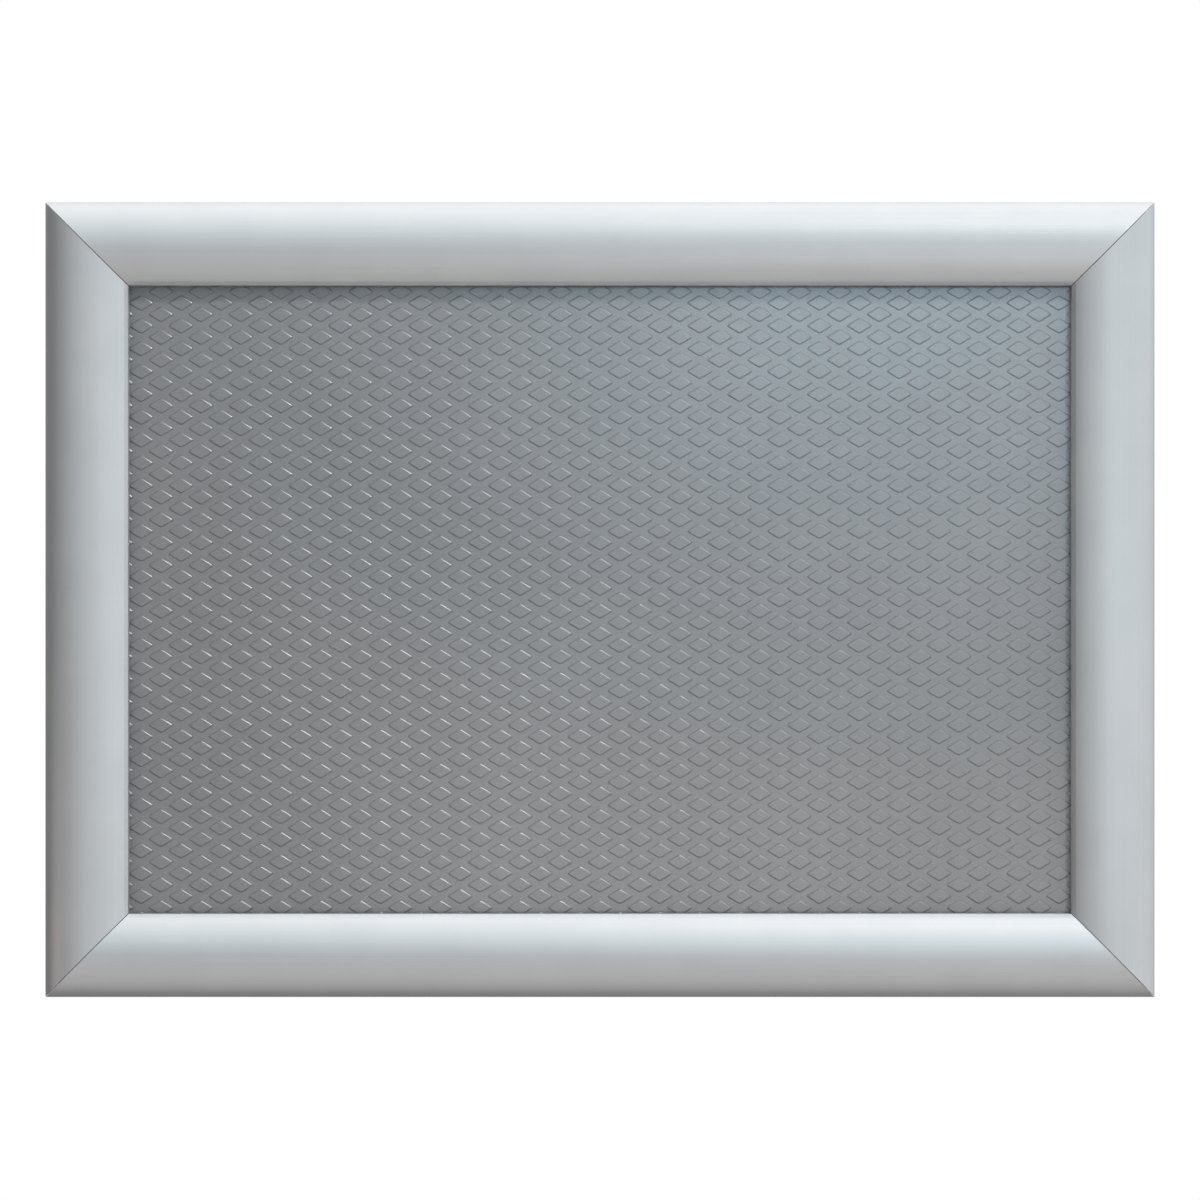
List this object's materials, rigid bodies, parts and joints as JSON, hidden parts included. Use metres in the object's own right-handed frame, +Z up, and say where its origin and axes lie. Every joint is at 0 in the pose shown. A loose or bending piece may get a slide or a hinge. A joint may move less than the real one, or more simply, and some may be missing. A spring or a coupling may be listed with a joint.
{
  "type": "poster frame",
  "caption": "Silver aluminium snap frame: mitred convex rails flip open on hinges along the outer edges to change a poster between a clear cover sheet and a grey embossed back panel.",
  "frame": {"origin": "middle of the frame, in the plane of the wall that it is fixed to", "axes": "+Z up, +X to the right as seen from the front, +Y into the wall, so the front faces -Y"},
  "size_m": [0.33, 0.012, 0.2364],
  "materials": {
    "anodised_aluminium": "satin silver anodised",
    "mill_aluminium": "plain extruded, silver anodised",
    "zinc_steel": "zinc plated stamping",
    "spring_steel": "bright rolled spring strip",
    "grey_panel": "grey, embossed with raised diamonds",
    "clear_cover": "clear sheet"
  },
  "bodies": {
    "base_frame": {"base_rail_top": "mill_aluminium", "base_rail_bottom": "mill_aluminium", "base_rail_left": "mill_aluminium", "base_rail_right": "mill_aluminium", "corner_key_top_left": "zinc_steel", "corner_key_top_right": "zinc_steel", "corner_key_bottom_left": "zinc_steel", "corner_key_bottom_right": "zinc_steel", "back_panel": "grey_panel", "cover_sheet": "clear_cover"},
    "clip_top": {"clip_rail_top": "anodised_aluminium"},
    "clip_bottom": {"clip_rail_bottom": "anodised_aluminium"},
    "clip_left": {"clip_rail_left": "anodised_aluminium"},
    "clip_right": {"clip_rail_right": "anodised_aluminium"},
    "springs_top": {"spring_top_1": "spring_steel", "spring_top_2": "spring_steel"},
    "springs_bottom": {"spring_bottom_1": "spring_steel", "spring_bottom_2": "spring_steel"},
    "springs_left": {"spring_left_1": "spring_steel", "spring_left_2": "spring_steel"},
    "springs_right": {"spring_right_1": "spring_steel", "spring_right_2": "spring_steel"}
  },
  "joints": [
    {"name": "clip_top_hinge", "type": "hinge", "parent": "base_frame", "child": "clip_top", "pos_m": [0, -0.0023, 0.11705], "axis": [-1, 0, 0], "range_deg": [0, 90]},
    {"name": "clip_bottom_hinge", "type": "hinge", "parent": "base_frame", "child": "clip_bottom", "pos_m": [0, -0.0023, -0.11705], "axis": [1, 0, 0], "range_deg": [0, 90]},
    {"name": "clip_left_hinge", "type": "hinge", "parent": "base_frame", "child": "clip_left", "pos_m": [-0.1638, -0.0023, 0], "axis": [0, 0, -1], "range_deg": [0, 90]},
    {"name": "clip_right_hinge", "type": "hinge", "parent": "base_frame", "child": "clip_right", "pos_m": [0.1638, -0.0023, 0], "axis": [0, 0, 1], "range_deg": [0, 90]},
    {"name": "springs_top_swing", "type": "hinge", "parent": "base_frame", "child": "springs_top", "pos_m": [0, -0.00467, 0.11565], "axis": [-1, 0, 0], "range_deg": [0, 122.6]},
    {"name": "springs_bottom_swing", "type": "hinge", "parent": "base_frame", "child": "springs_bottom", "pos_m": [0, -0.00467, -0.11565], "axis": [1, 0, 0], "range_deg": [0, 122.6]},
    {"name": "springs_left_swing", "type": "hinge", "parent": "base_frame", "child": "springs_left", "pos_m": [-0.1624, -0.00467, 0], "axis": [0, 0, -1], "range_deg": [0, 122.6]},
    {"name": "springs_right_swing", "type": "hinge", "parent": "base_frame", "child": "springs_right", "pos_m": [0.1624, -0.00467, 0], "axis": [0, 0, 1], "range_deg": [0, 122.6]}
  ],
  "couplings": [
    {"joint": "springs_top_swing", "follows": "clip_top_hinge", "ratio": 1.3619},
    {"joint": "springs_bottom_swing", "follows": "clip_bottom_hinge", "ratio": 1.3619},
    {"joint": "springs_left_swing", "follows": "clip_left_hinge", "ratio": 1.3619},
    {"joint": "springs_right_swing", "follows": "clip_right_hinge", "ratio": 1.3619}
  ]
}
